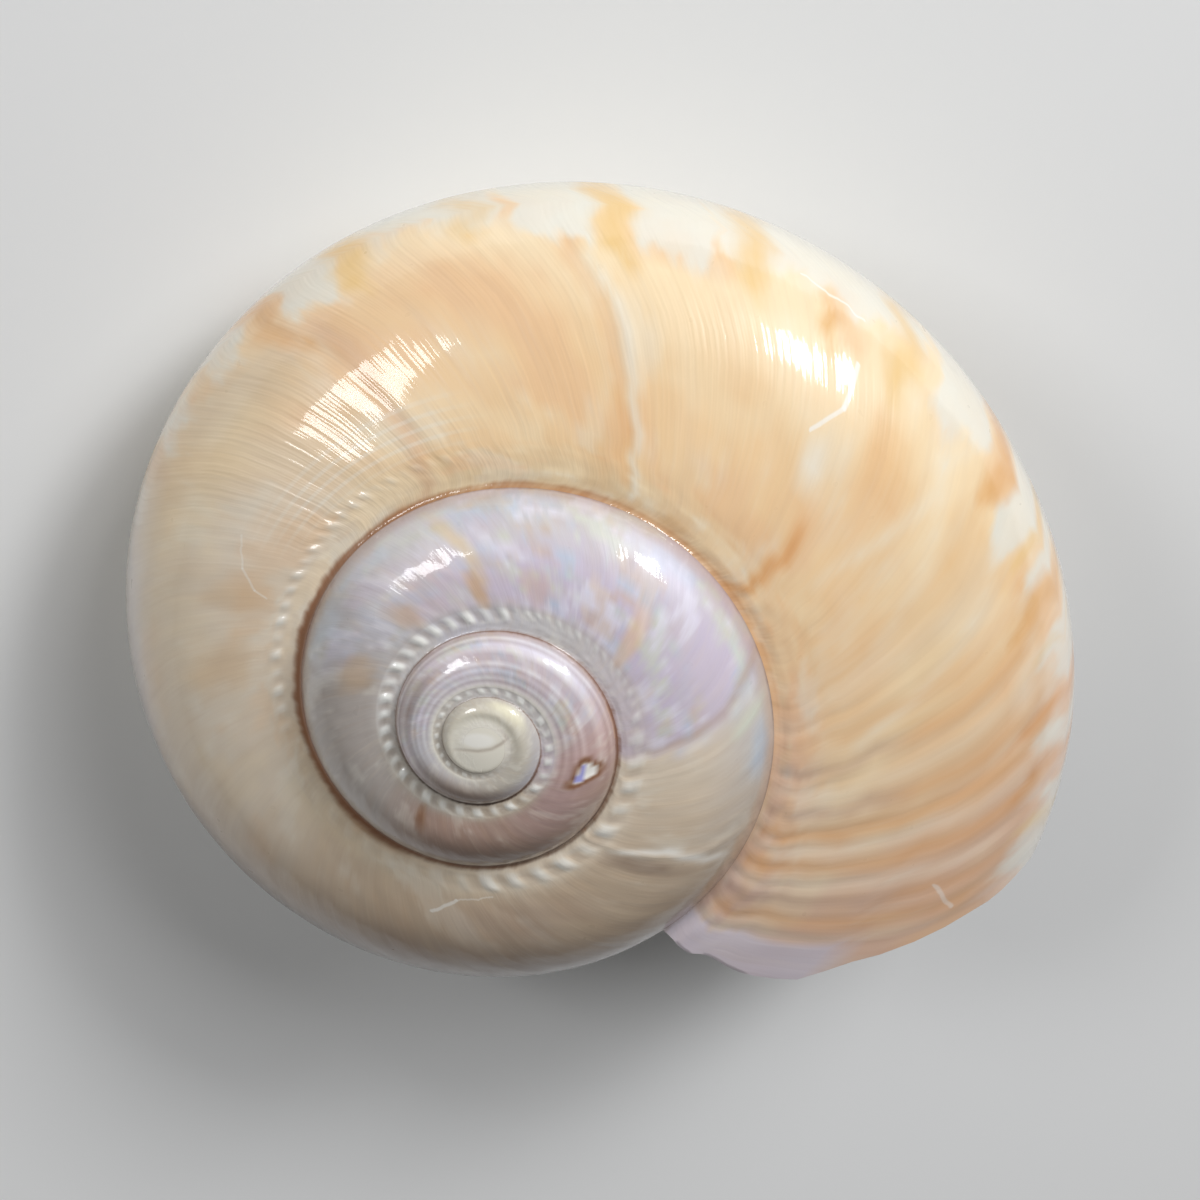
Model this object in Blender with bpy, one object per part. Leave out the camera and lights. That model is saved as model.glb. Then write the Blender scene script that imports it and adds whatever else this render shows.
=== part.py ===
# A depressed, widely umbilicate top shell, grown as one piece: a coiled tube, open at its mouth
# and hollow for its last one and a quarter turns. Metres, +Z up. It stands as it would on a table,
# apex up, on its lip and on the lowest place of its base, which is worn to a small flat spot.
#
# A place on the shell is given by two numbers. The coil angle, in degrees, runs along the tube and
# grows towards the mouth, clockwise seen from the apex. The section point runs round the tube, from
# the suture over the shoulder, down round the periphery, under the base to the crenulate rim of the
# umbilicus, and up the umbilical wall. Rows of points follow the growth lines, which lean back from
# the suture, and each turn shares the points of the turn before it where it is grown on to it.

import math

import bmesh
import bpy
from mathutils import Matrix, Vector

# Driving dimensions, in metres and degrees; a share is of the tube's own radius from the axis
PERIPHERY_RADIUS = 0.0143
MOUTH_ANGLE = 418.5
ROWS = 184
ROWS_PER_TURN = 48
GROWTH_PER_TURN = 2.012
GROWTH_SLOWING = -0.023
PERIPHERY_DROP = 0.617
SPIRE_CURVE = 0.186
FLARE = 0.02
FLARE_ANGLES = (335.0, 375.0)

# The section: an oval shoulder above the periphery, a rounder base below it
SHOULDER_WIDTH = 0.46
SHOULDER_HEIGHT = 0.36
BASE_WIDTH = 0.44
BASE_HEIGHT = 0.35
SHOULDER_SHARES = (0.0, 0.1, 0.2, 0.32, 0.62, 1.0)
SHOULDER_JOIN = 62.0
SUTURE_SLOPE = 4.0
GRIP_TURN = 16.2
OUTER_TURNS = (46.0, 31.0, GRIP_TURN, 7.0, -12.0, -33.0, -54.0, -76.0)
BASE_POINTS = ((0.44, -0.322), (0.355, -0.272), (0.30, -0.252))
WALL_POINTS = ((0.236, -0.145), (0.190, 0.005))

# Growth lines: rows by which the grip lags behind the suture, and the further lag of the base
LAG_ROWS = 4
RIM_LAG = 40.0
BASE_LAG = 8.0

# The lip runs ahead of its growth line on the shoulder and stays behind it at the periphery: coil
# angle at each section point from the suture on, which the last rows take up by and by
LIP_ADVANCE = (0.0, 0.6, 3.5, 5.7, 8.4, 4.2, 0.7, -1.0, -3.4, -2.0, -1.0)
LIP_ADVANCE_ROWS = 6

# Ornament: a bead on every row below the suture, beside a shallow channel, and a fold on every
# second row of the umbilical rim, whose share falls to each side
BEAD_POINT = 2
BEAD_HEIGHT = 0.009
BEAD_GAP = 0.002
CHANNEL_DEPTH = 0.003
RIM_FOLD = 0.013
FOLD_SHARES = {-2: 0.25, -1: 0.6, 0: 1.0, 1: 0.6}
FOLD_OUTWARD = 0.5

# Dome at the apex: its rise, and how far in and up its ring of points lies, as shares
APEX_RISE = 0.00016
APEX_RING = (0.45, 0.75)

# Wall and hollow
WALL = 0.0006
LIP_EDGE = 0.0004
LIP_TAPER_ROWS = 6
HOLLOW_ROWS = 60
UMBILICUS_ROWS = 120

# Standing: the coiling axis leans towards this coil angle, and the wear is this deep
LEAN = 18.5
LEAN_TOWARDS = 182.8
WEAR = 0.0002

# Step along the coil over which the surface's direction is taken, and the least angle of an edge
# that is shaded sharp, both in degrees
SLOPE_STEP = 1.0
SHARP_EDGE = 50.0

# Numbers of the section points where the next turn grips this one, of the rim and of the seam
SHOULDER_END = len(SHOULDER_SHARES) - 1
GRIP = SHOULDER_END + 1 + OUTER_TURNS.index(GRIP_TURN)
RIM = SHOULDER_END + len(OUTER_TURNS) + len(BASE_POINTS)
SEAM = RIM + len(WALL_POINTS) + 1

ROW_STEP = 360.0 / ROWS_PER_TURN
TURN_BACK = ROWS_PER_TURN - LAG_ROWS


# Coil angle of a row at the suture
def row_angle(row):
    return MOUTH_ANGLE - (ROWS - row) * ROW_STEP


# Rises smoothly from 0 to 1 as the share does
def ease(share):
    kept = min(max(share, 0.0), 1.0)
    return kept * kept * (3.0 - 2.0 * kept)


# Radius of the tube's outermost point from the axis; the last stretch flares a little
def tube_size(angle):
    turns = (angle - 360.0) / 360.0
    growth = math.log(GROWTH_PER_TURN) * turns + GROWTH_SLOWING * turns * turns
    begin, end = FLARE_ANGLES
    flare = 1.0 + FLARE * ease((angle - begin) / (end - begin))
    return PERIPHERY_RADIUS * math.exp(growth) * flare


# Height of the periphery; the apex is at zero
def periphery_height(angle):
    size = tube_size(angle)
    return -PERIPHERY_DROP * size * (size / PERIPHERY_RADIUS) ** SPIRE_CURVE


# Point of the oval at a turn above (+) or below (-) the periphery, as radius and height
def oval(angle, turn):
    size = tube_size(angle)
    above = turn > 0.0
    width = SHOULDER_WIDTH if above else BASE_WIDTH
    height = SHOULDER_HEIGHT if above else BASE_HEIGHT
    lean = math.radians(turn)
    radius = size * (1.0 - width + width * math.cos(lean))
    return radius, periphery_height(angle) + size * height * math.sin(lean)


# Point given as shares of the tube size, from the axis and from the periphery's height
def placed(angle, shares):
    size = tube_size(angle)
    return size * shares[0], periphery_height(angle) + size * shares[1]


# Cubic curve from the suture to the oval shoulder
def shoulder(angle, share):
    start = oval(angle - 360.0, GRIP_TURN)
    end = oval(angle, SHOULDER_JOIN)
    reach = math.dist(start, end) / 3.0
    first = math.radians(-SUTURE_SLOPE)
    lean = math.radians(SHOULDER_JOIN)
    last = math.atan2(-SHOULDER_HEIGHT * math.cos(lean), SHOULDER_WIDTH * math.sin(lean))
    leave = (start[0] + reach * math.cos(first), start[1] + reach * math.sin(first))
    arrive = (end[0] - reach * math.cos(last), end[1] - reach * math.sin(last))
    rest = 1.0 - share
    weights = (rest ** 3, 3.0 * rest * rest * share, 3.0 * rest * share * share, share ** 3)
    corners = (start, leave, arrive, end)
    return tuple(sum(w * c[k] for w, c in zip(weights, corners)) for k in (0, 1))


# Smooth section point, without ornament
def section(angle, point):
    if point <= SHOULDER_END:
        return shoulder(angle, SHOULDER_SHARES[point])
    if point <= SHOULDER_END + len(OUTER_TURNS):
        return oval(angle, OUTER_TURNS[point - SHOULDER_END - 1])
    if point <= RIM:
        return placed(angle, BASE_POINTS[point - RIM - 1])
    if point < SEAM:
        return placed(angle, WALL_POINTS[point - RIM - 1])
    return placed(angle - 360.0, BASE_POINTS[-1])


# Lag of the growth line at a section point, in degrees of coil angle
def lag(point):
    grip_lag = LAG_ROWS * ROW_STEP
    if point <= GRIP:
        return grip_lag * ease(point / GRIP)
    if point <= RIM:
        share = (point - GRIP) / (RIM - GRIP)
        return grip_lag + (RIM_LAG - grip_lag) * share + BASE_LAG * math.sin(math.pi * share)
    return RIM_LAG - grip_lag * (point - RIM) / (SEAM - RIM)


# Coil angle of a place: its row, less the growth line's lag, and the lip's advance
def coil_angle(row, point):
    angle = row_angle(row) - lag(point)
    if point < len(LIP_ADVANCE):
        angle += LIP_ADVANCE[point] * ease((row - ROWS + LIP_ADVANCE_ROWS) / LIP_ADVANCE_ROWS)
    return angle


def on_axis(angle, radius, height):
    turn = math.radians(angle)
    return Vector((radius * math.cos(turn), -radius * math.sin(turn), height))


# Height of the beads and of the channel between them and the suture, as a share of the tube size.
# A row that ends in a half is a place between two rows.
def relief(row, point):
    if point == BEAD_POINT:
        return BEAD_HEIGHT if row == int(row) else -BEAD_GAP
    if point == BEAD_POINT - 1:
        return -CHANNEL_DEPTH
    return 0.0


def outer_point(row, point):
    angle = coil_angle(row, point)
    radius, height = section(angle, point)
    size = tube_size(angle)
    fold = size * RIM_FOLD * FOLD_SHARES.get(point - RIM, 0.0) * (1.0 if row % 2 else -1.0)
    height += size * relief(row, point) - fold
    return on_axis(angle, radius - FOLD_OUTWARD * fold, height)


# Direction from the outer surface into the wall, from the smooth section's own slopes
def inward(row, point):
    angle = coil_angle(row, point)
    ahead = on_axis(angle + SLOPE_STEP, *section(angle + SLOPE_STEP, point))
    behind = on_axis(angle - SLOPE_STEP, *section(angle - SLOPE_STEP, point))
    before = on_axis(angle, *section(angle, max(point - 1, 0)))
    after = on_axis(angle, *section(angle, min(point + 1, SEAM)))
    return (after - before).cross(ahead - behind).normalized()


# Wall thickness: thin at the lip, full a few rows behind it, thinner in the older turns
def wall(row):
    full = WALL * (tube_size(row_angle(row)) / tube_size(MOUTH_ANGLE)) ** 0.5
    share = min((ROWS - row) / LIP_TAPER_ROWS, 1.0)
    return LIP_EDGE + (full - LIP_EDGE) * share


class Surface:
    def __init__(self):
        self.mesh = bmesh.new()
        self.outer = {}
        self.inner = {}

    # Outer vertex, shared with the turn before where this turn is grown on to it
    def skin(self, row, point):
        if row >= TURN_BACK and point == 0:
            return self.skin(row - TURN_BACK, GRIP)
        if point == SEAM and row - TURN_BACK >= ROWS - UMBILICUS_ROWS:
            return self.skin(row - TURN_BACK, RIM)
        if (row, point) not in self.outer:
            self.outer[row, point] = self.mesh.verts.new(outer_point(row, point))
        return self.outer[row, point]

    # Vertex of the hollow, shared with the parietal wall at both ends of the section
    def lining(self, row, point):
        if point == 0:
            return self.skin(row - TURN_BACK, GRIP + 1)
        if point == SEAM:
            return self.skin(row - TURN_BACK, RIM - 1)
        if (row, point) not in self.inner:
            place = self.skin(row, point).co + wall(row) * inward(row, point)
            self.inner[row, point] = self.mesh.verts.new(place)
        return self.inner[row, point]

    def face(self, *corners):
        kept = list(dict.fromkeys(corners))
        if len(kept) > 2:
            self.mesh.faces.new(kept)

    # Faces of one sheet between rows of points
    def strip(self, vertex, rows, points):
        for row in rows:
            for point in points:
                self.face(
                    vertex(row, point),
                    vertex(row + 1, point),
                    vertex(row + 1, point + 1),
                    vertex(row, point + 1),
                )

    # Two bands that meet on the bead line, which has a low place between each two beads
    def beads(self, rows):
        for row in rows:
            gap = self.skin(row + 0.5, BEAD_POINT)
            here = self.skin(row, BEAD_POINT)
            ahead = self.skin(row + 1, BEAD_POINT)
            for point in (BEAD_POINT - 1, BEAD_POINT + 1):
                near = self.skin(row, point)
                far = self.skin(row + 1, point)
                self.face(near, here, gap)
                self.face(near, gap, far)
                self.face(far, gap, ahead)

    # Fan that closes a loop on a new vertex at its middle
    def fan(self, loop):
        hub = self.mesh.verts.new(sum((vertex.co for vertex in loop), Vector()) / len(loop))
        for here, ahead in zip(loop, loop[1:] + loop[:1]):
            self.face(here, ahead, hub)

    # Rounded cap over a loop: one ring part of the way in and up, then a fan
    def dome(self, loop, lift):
        middle = sum((vertex.co for vertex in loop), Vector()) / len(loop)
        ring = []
        for vertex in loop:
            place = vertex.co.lerp(middle, APEX_RING[0])
            place.z += APEX_RING[1] * lift
            ring.append(self.mesh.verts.new(place))
        for k in range(len(loop)):
            self.face(loop[k - 1], loop[k], ring[k], ring[k - 1])
        self.fan(ring)


def grow_shell():
    shell = Surface()
    hollow_row = ROWS - HOLLOW_ROWS
    umbilicus_row = ROWS - UMBILICUS_ROWS

    # Upper side of every turn, and the umbilical wall of the later ones
    shell.strip(shell.skin, range(ROWS), range(BEAD_POINT - 1))
    shell.beads(range(ROWS))
    shell.strip(shell.skin, range(ROWS), range(BEAD_POINT + 1, GRIP))
    shell.strip(shell.skin, range(umbilicus_row, ROWS), range(RIM, SEAM))
    # Periphery and base, bare on the last turn
    shell.strip(shell.skin, range(ROWS - TURN_BACK, ROWS), range(GRIP, RIM))
    # The same band of the turn before, as the parietal wall of the hollow
    parietal = range(hollow_row - TURN_BACK, ROWS - TURN_BACK)
    shell.strip(shell.skin, parietal, range(GRIP + 1, RIM - 1))
    # Inside of the tube
    shell.strip(shell.lining, range(hollow_row, ROWS), range(SEAM))
    # Edge of the lip
    for point in range(SEAM):
        shell.face(
            shell.skin(ROWS, point),
            shell.lining(ROWS, point),
            shell.lining(ROWS, point + 1),
            shell.skin(ROWS, point + 1),
        )

    # The hollow's far end
    end = [shell.lining(hollow_row, point) for point in range(SEAM + 1)]
    back = [shell.skin(hollow_row - TURN_BACK, point) for point in range(RIM - 2, GRIP + 1, -1)]
    shell.fan(end + back)
    # The first small dome at the apex, and the top of the umbilicus
    apex = [shell.skin(0, point) for point in range(GRIP + 1)]
    apex += [shell.skin(row, 0) for row in range(TURN_BACK - 1, 0, -1)]
    shell.dome(apex, APEX_RISE)
    deep = [shell.skin(umbilicus_row, point) for point in range(SEAM, RIM - 1, -1)]
    deep += [shell.skin(row, SEAM) for row in range(umbilicus_row + TURN_BACK - 1, umbilicus_row, -1)]
    shell.fan(deep)

    bmesh.ops.recalc_face_normals(shell.mesh, faces=shell.mesh.faces)
    return shell.mesh


# Turns the shell as it stands, sets it on the ground and wears its lowest places flat
def stand(mesh):
    across = math.radians(LEAN_TOWARDS)
    pivot = Vector((math.sin(across), math.cos(across), 0.0))
    mesh.transform(Matrix.Rotation(math.radians(LEAN), 4, pivot))
    lowest = min(vertex.co.z for vertex in mesh.verts)
    sides = [[vertex.co[k] for vertex in mesh.verts] for k in (0, 1)]
    middle = [(min(side) + max(side)) / 2.0 for side in sides]
    for vertex in mesh.verts:
        vertex.co.x -= middle[0]
        vertex.co.y -= middle[1]
        vertex.co.z = max(vertex.co.z - lowest - WEAR, 0.0)


def shell_material():
    material = bpy.data.materials.new("polished_shell")
    material.use_nodes = True
    surface = material.node_tree.nodes["Principled BSDF"]
    surface.inputs["Base Color"].default_value = (0.72, 0.53, 0.34, 1.0)
    surface.inputs["Roughness"].default_value = 0.28
    surface.inputs["Metallic"].default_value = 0.0
    return material


def main():
    for old in list(bpy.data.objects):
        bpy.data.objects.remove(old)
    mesh = grow_shell()
    stand(mesh)
    data = bpy.data.meshes.new("shell")
    mesh.to_mesh(data)
    mesh.free()
    data.materials.append(shell_material())
    data.shade_smooth()
    data.set_sharp_from_angle(angle=math.radians(SHARP_EDGE))
    bpy.context.scene.collection.objects.link(bpy.data.objects.new("shell", data))


main()
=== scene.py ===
# Looks of a low, umbilicate top shell: one closed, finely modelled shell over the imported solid
import math

import bpy
import numpy as np
from mathutils import Matrix, Vector, noise


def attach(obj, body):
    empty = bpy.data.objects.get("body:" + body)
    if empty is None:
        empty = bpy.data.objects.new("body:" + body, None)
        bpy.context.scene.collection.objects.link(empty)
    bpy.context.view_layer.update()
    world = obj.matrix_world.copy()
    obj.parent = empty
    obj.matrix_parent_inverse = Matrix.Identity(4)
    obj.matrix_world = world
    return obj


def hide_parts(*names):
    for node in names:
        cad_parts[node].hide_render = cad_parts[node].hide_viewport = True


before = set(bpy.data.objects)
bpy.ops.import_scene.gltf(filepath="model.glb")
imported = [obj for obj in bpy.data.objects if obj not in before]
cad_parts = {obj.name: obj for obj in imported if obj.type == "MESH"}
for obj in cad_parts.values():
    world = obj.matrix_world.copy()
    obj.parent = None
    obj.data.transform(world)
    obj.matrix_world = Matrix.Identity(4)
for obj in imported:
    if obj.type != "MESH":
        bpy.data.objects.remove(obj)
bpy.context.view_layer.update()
print("frame loaded")


# Form of the shell, with the same values as the solid. Metres and degrees; shares are of the
# tube's own radius from the coiling axis. A place is a growth row and a point round the section:
# 0 suture, 5 end of the shoulder, 8 where the next turn grips, 16 rim of the umbilicus, 19 seam.
shellForm = {
    "peripheryRadius": 0.0143,
    "mouthAngle": 418.5,
    "rows": 184,
    "rowStep": 7.5,
    "turnBack": 44,
    "growthPerTurn": 2.012,
    "growthSlowing": -0.023,
    "peripheryDrop": 0.617,
    "spireCurve": 0.186,
    "flare": 0.02,
    "flareAngles": (335.0, 375.0),
    "shoulderSize": (0.46, 0.36),
    "baseSize": (0.44, 0.35),
    "shoulderShares": (0.0, 0.1, 0.2, 0.32, 0.62, 1.0),
    "shoulderJoin": 62.0,
    "sutureSlope": 4.0,
    "gripTurn": 16.2,
    "outerTurns": (62.0, 46.0, 31.0, 16.2, 7.0, -12.0, -33.0, -54.0, -76.0),
    "basePoints": ((0.44, -0.322), (0.355, -0.272), (0.30, -0.252)),
    "wallPoints": ((0.236, -0.145), (0.190, 0.005)),
    "gripLag": 30.0,
    "rimLag": 40.0,
    "baseLag": 8.0,
    "lipPoints": (0, 0.5, 1, 1.5, 2, 2.5, 3, 3.5, 4, 4.5, 4.75, 5, 5.5, 6, 6.5, 7, 7.5, 8, 9, 10, 11),
    "lipAdvance": (0, 0.1, 0.6, 2.0, 3.5, 3.8, 5.7, 7.5, 8.4, 8.0, 6.0, 4.2, 2.3, 0.7, -0.5, -1.0, -2.4,
                   -3.4, -2.0, -1.0, 0),
    "lipAdvanceRows": 6.0,
    "lipWaves": ((2.1, 0.6, 0.25), (5.3, 2.0, 0.15)),
    "rimFold": 0.013,
    "foldOutward": 0.5,
    "foldWidth": 0.75,
    "wall": 0.0006,
    "lipEdge": 0.0004,
    "lipTaperRows": 6.0,
    "lipRounding": 0.00012,
    "domeRise": 0.00016,
    "hollowRow": 124,
    "umbilicusRow": 64,
    "lean": 18.5,
    "leanTowards": 182.8,
    "standShift": (-0.00456190, -0.00173149, 0.01116046),
    # A smooth skin bulges between the solid's points, so it is drawn in to stay within them
    "drawnIn": 0.997,
}
grip, rim, seam = 8, 16, 19

# Fine rows in each growth row, outside and inside, rings of the caps, and points round the section;
# how near points are joined, and up to which angle the faces shade smoothly
meshFineness = {
    "rowParts": 11,
    "insideParts": 4,
    "domeRings": 18,
    "capRings": 3,
    "joinWithin": 0.0000006,
    "smoothUpTo": 60.0,
    "upperPoints": (0, 0.3, 0.6, 0.9, 1.15, 1.4, 1.65, 1.9, 2.15, 2.4, 2.65, 2.85, 3.05, 3.3, 3.6, 3.9,
                    4.2, 4.5, 4.75, 5, 5.3, 5.7, 6.1, 6.5, 6.85, 7.15, 7.45, 7.75, 8),
    "basePoints": (8, 8.5, 9, 9.5, 10, 10.5, 11, 11.5, 12, 12.6, 13.2, 13.8, 14.4, 15, 15.5, 16),
    "wallPoints": (16, 16.5, 17, 17.5, 18, 18.5, 19),
}

# Rows by which a growth line runs ahead of its row, by section point
growthAhead = {
    "points": (0, 0.9, 2.4, 3.3, 4.3, 5.5, 6.5, 7.5, 9, 16),
    "rows": (0, 0.3, 0.75, 1.05, 1.2, 1.25, 1.0, 0.75, 0.6, 0.6),
}

# Beads and pleats below the suture, in stages along the growth: growth line, a bead's length in
# rows, its strength, and the middle and half width of the beaded band as section points
beadStages = (
    (0, 2.0, 0.0, 2.0, 0.9),
    (40, 2.0, 0.2, 2.0, 0.9),
    (52, 1.9, 0.8, 1.9, 0.9),
    (84, 1.75, 0.9, 1.8, 1.1),
    (97, 1.6, 0.8, 1.8, 1.1),
    (100, 1.28, 1.0, 1.8, 1.1),
    (107, 1.28, 1.1, 1.8, 1.1),
    (113, 1.2, 1.0, 2.0, 1.2),
    (117.5, 1.1, 0.9, 2.1, 1.1),
    (118.5, 0.6, 0.35, 2.7, 0.5),
    (127, 0.6, 0.35, 2.7, 0.5),
    (128.5, 1.3, 0.5, 2.0, 1.1),
    (134, 1.4, 0.75, 1.9, 1.1),
    (141, 1.15, 0.7, 1.9, 1.1),
    (143, 1.1, 0.2, 1.9, 1.0),
    (151, 0.7, 0.1, 1.9, 0.9),
    (152.5, 0.7, 0.6, 1.9, 0.55),
    (155, 0.62, 0.55, 2.2, 0.42),
    (158, 0.5, 0.4, 2.4, 0.35),
    (163, 0.42, 0.2, 2.5, 0.35),
    (166, 0.4, 0.0, 2.5, 0.35),
    (184, 0.4, 0.0, 2.5, 0.35),
)
beadSteps = dict(zip(("row", "length", "strength", "middle", "half"), zip(*beadStages)))

# A bead's height as a share of the tube's size, how narrow its crest is, how low the skin lies
# between beads, and how much the beads differ
beadForm = {
    "height": 0.0105,
    "sharpness": 1.3,
    "lowPlace": 0.25,
    "difference": (0.8, 0.35, 2.7),
}

# Low relief, as shares of the tube's size: channel beside the suture, cord below the beads, spiral
# threads of the young turns, unevenness, grooves along growth lines (line, half width, depth), and
# the chip (row, point, half length in rows, half width in points)
reliefSet = {
    "channel": (0.4, 0.3, 0.0035),
    "channelRows": (30.0, 50.0),
    "cordRows": (0, 20, 50, 60, 80, 86, 118, 132),
    "cordHeights": (0, 0.002, 0.004, 0.006, 0.004, 0.0015, 0.0008, 0),
    "cordBand": (3.05, 0.22),
    "threadRows": (50, 62, 80, 88),
    "threadHeights": (0, 0.0013, 0.0013, 0),
    "threadGap": 0.55,
    "uneven": 0.0011,
    "unevenRows": (60.0, 90.0),
    "grooves": ((129.7, 0.2, 0.0016), (131.0, 0.1, -0.0012), (134.9, 0.16, -0.0026),
                (162.9, 0.16, 0.0020), (168.2, 0.12, 0.0012), (168.5, 0.12, -0.0012),
                (172.75, 0.14, 0.0026), (173.1, 0.16, -0.0010)),
    "lipGrooves": (176.2, 176.9, 177.4, 178.2, 178.6, 179.3, 179.9, 180.3, 180.8, 181.3, 181.8, 182.3,
                   182.8),
    "lipGroove": (0.12, 0.0016),
    "chip": (85.6, 5.2, 1.0, 0.9),
    "chipDepth": 0.009,
    "chipRim": 0.0015,
    "chipRagged": (0.25, 3.0, 0.7),
}


def rowAngle(row):
    return shellForm["mouthAngle"] - (shellForm["rows"] - row) * shellForm["rowStep"]


def ease(share):
    kept = np.clip(share, 0.0, 1.0)
    return kept * kept * (3.0 - 2.0 * kept)


# Share that passes smoothly from 0 at one value to 1 at another
def between(value, begin, end):
    return ease((value - begin) / (end - begin))


# Bell of a half width round a middle value
def bell(value, middle, width):
    return np.exp(-(((value - middle) / width) ** 2))


# Smooth uneven field between about -1 and 1 over two measures of the surface
def uneven(first, second, seed, octaves=3):
    places = zip(np.ravel(first), np.ravel(second))
    found = [noise.fractal((a, b, seed), 0.7, 2.0, octaves) for a, b in places]
    return np.reshape(found, np.shape(first))


def tubeSize(angle):
    turns = (angle - 360.0) / 360.0
    growth = math.log(shellForm["growthPerTurn"]) * turns + shellForm["growthSlowing"] * turns * turns
    begin, end = shellForm["flareAngles"]
    flare = 1.0 + shellForm["flare"] * between(angle, begin, end)
    return shellForm["peripheryRadius"] * np.exp(growth) * flare


def peripheryHeight(angle):
    size = tubeSize(angle)
    steeper = (size / shellForm["peripheryRadius"]) ** shellForm["spireCurve"]
    return -shellForm["peripheryDrop"] * size * steeper


# Radius and height of the oval at a turn above or below the periphery
def ovalPoint(angle, turn):
    size = tubeSize(angle)
    above = turn > 0.0
    width = np.where(above, shellForm["shoulderSize"][0], shellForm["baseSize"][0])
    height = np.where(above, shellForm["shoulderSize"][1], shellForm["baseSize"][1])
    lean = np.radians(turn)
    return size * (1.0 - width + width * np.cos(lean)), peripheryHeight(angle) + size * height * np.sin(lean)


# Cubic curve from the suture to the oval shoulder
def shoulderPoint(angle, share):
    start = ovalPoint(angle - 360.0, np.full_like(angle, shellForm["gripTurn"]))
    end = ovalPoint(angle, np.full_like(angle, shellForm["shoulderJoin"]))
    reach = np.hypot(end[0] - start[0], end[1] - start[1]) / 3.0
    first = math.radians(-shellForm["sutureSlope"])
    lean = math.radians(shellForm["shoulderJoin"])
    width, height = shellForm["shoulderSize"]
    last = math.atan2(-height * math.cos(lean), width * math.sin(lean))
    leave = (start[0] + reach * math.cos(first), start[1] + reach * math.sin(first))
    arrive = (end[0] - reach * math.cos(last), end[1] - reach * math.sin(last))
    rest = 1.0 - share
    weights = (rest**3, 3.0 * rest * rest * share, 3.0 * rest * share * share, share**3)
    corners = (start, leave, arrive, end)
    return [sum(w * c[k] for w, c in zip(weights, corners)) for k in (0, 1)]


# One whole-numbered section point of the base or of the umbilical wall
def knotPoint(angle, knot):
    if knot <= 13:
        return ovalPoint(angle, np.full_like(angle, shellForm["outerTurns"][knot - 5]))
    if knot == 20:
        last, before = knotPoint(angle, 19), knotPoint(angle, 18)
        return [2.0 * a - b for a, b in zip(last, before)]
    if knot == 19:
        angle = angle - 360.0
        shares = shellForm["basePoints"][-1]
    else:
        shares = (shellForm["basePoints"] + shellForm["wallPoints"])[knot - 14]
    size = tubeSize(angle)
    return [size * shares[0], peripheryHeight(angle) + size * shares[1]]


# Smooth curve through those points, from 13 on
def basePoint(angle, point):
    radius, height = np.zeros_like(angle), np.zeros_like(angle)
    for knot in range(13, 19):
        here = (point >= knot) & (point < knot + 1) if knot < 18 else point >= knot
        if not here.any():
            continue
        f = np.clip(point - knot, 0.0, 1.0)[here]
        around = [knotPoint(angle[here], knot + k) for k in (-1, 0, 1, 2)]
        weights = (
            -0.5 * f + f * f - 0.5 * f**3,
            1.0 - 2.5 * f * f + 1.5 * f**3,
            0.5 * f + 2.0 * f * f - 1.5 * f**3,
            -0.5 * f * f + 0.5 * f**3,
        )
        radius[here] = sum(w * a[0] for w, a in zip(weights, around))
        height[here] = sum(w * a[1] for w, a in zip(weights, around))
    return radius, height


def sectionPoint(angle, point):
    share = np.interp(point, range(6), shellForm["shoulderShares"])
    turn = np.interp(point, range(5, 14), shellForm["outerTurns"])
    shoulder = shoulderPoint(angle, share)
    outer = ovalPoint(angle, turn)
    base = basePoint(angle, point)
    parts = [point <= 5.0, point <= 13.0]
    return [np.select(parts, [shoulder[k], outer[k]], base[k]) for k in (0, 1)]


# Lag of a growth line behind the suture, in degrees of coil angle
def lagAt(point):
    upper = shellForm["gripLag"] * ease(point / grip)
    share = np.clip((point - grip) / (rim - grip), 0.0, 1.0)
    lower = shellForm["gripLag"] + (shellForm["rimLag"] - shellForm["gripLag"]) * share
    lower = lower + shellForm["baseLag"] * np.sin(math.pi * share)
    wall = shellForm["rimLag"] - shellForm["gripLag"] * (point - rim) / (seam - rim)
    return np.select([point <= grip, point <= rim], [upper, lower], wall)


# Advance of the lip on its last rows, with a slight wave on the base, in degrees of coil angle
def lipAdvance(row, point):
    reach = shellForm["lipAdvanceRows"]
    wave = sum(much * np.sin(often * point + begin) for often, begin, much in shellForm["lipWaves"])
    wave = wave * between(point, 7.0, 9.0) * between(point, seam, seam - 1.5)
    advance = np.interp(point, shellForm["lipPoints"], shellForm["lipAdvance"]) + wave
    return advance * between(row, shellForm["rows"] - reach, shellForm["rows"])


# Number of the growth line through a place
def growthLine(row, point):
    trueRow = row + lipAdvance(row, point) / shellForm["rowStep"]
    return trueRow - np.interp(point, growthAhead["points"], growthAhead["rows"])


def onAxis(angle, radius, height):
    turn = np.radians(angle)
    return np.stack([radius * np.cos(turn), -radius * np.sin(turn), height], -1)


def coilAngle(row, point):
    return rowAngle(row) - lagAt(point) + lipAdvance(row, point)


def smoothPlace(row, point, ahead=0.0):
    angle = coilAngle(row, point) + ahead
    return onAxis(angle, *sectionPoint(angle, point))


# Direction into the wall, from two short steps over the surface
def inwardAt(row, point):
    pointStep, angleStep = 0.15, 0.6
    low = np.clip(point - pointStep, 0.0, seam)
    high = np.clip(point + pointStep, 0.0, seam)
    angle = coilAngle(row, point)
    along = onAxis(angle + angleStep, *sectionPoint(angle + angleStep, point))
    along = along - onAxis(angle - angleStep, *sectionPoint(angle - angleStep, point))
    over = onAxis(angle, *sectionPoint(angle, high)) - onAxis(angle, *sectionPoint(angle, low))
    found = np.cross(over, along)
    return found / np.linalg.norm(found, axis=-1, keepdims=True)


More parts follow.
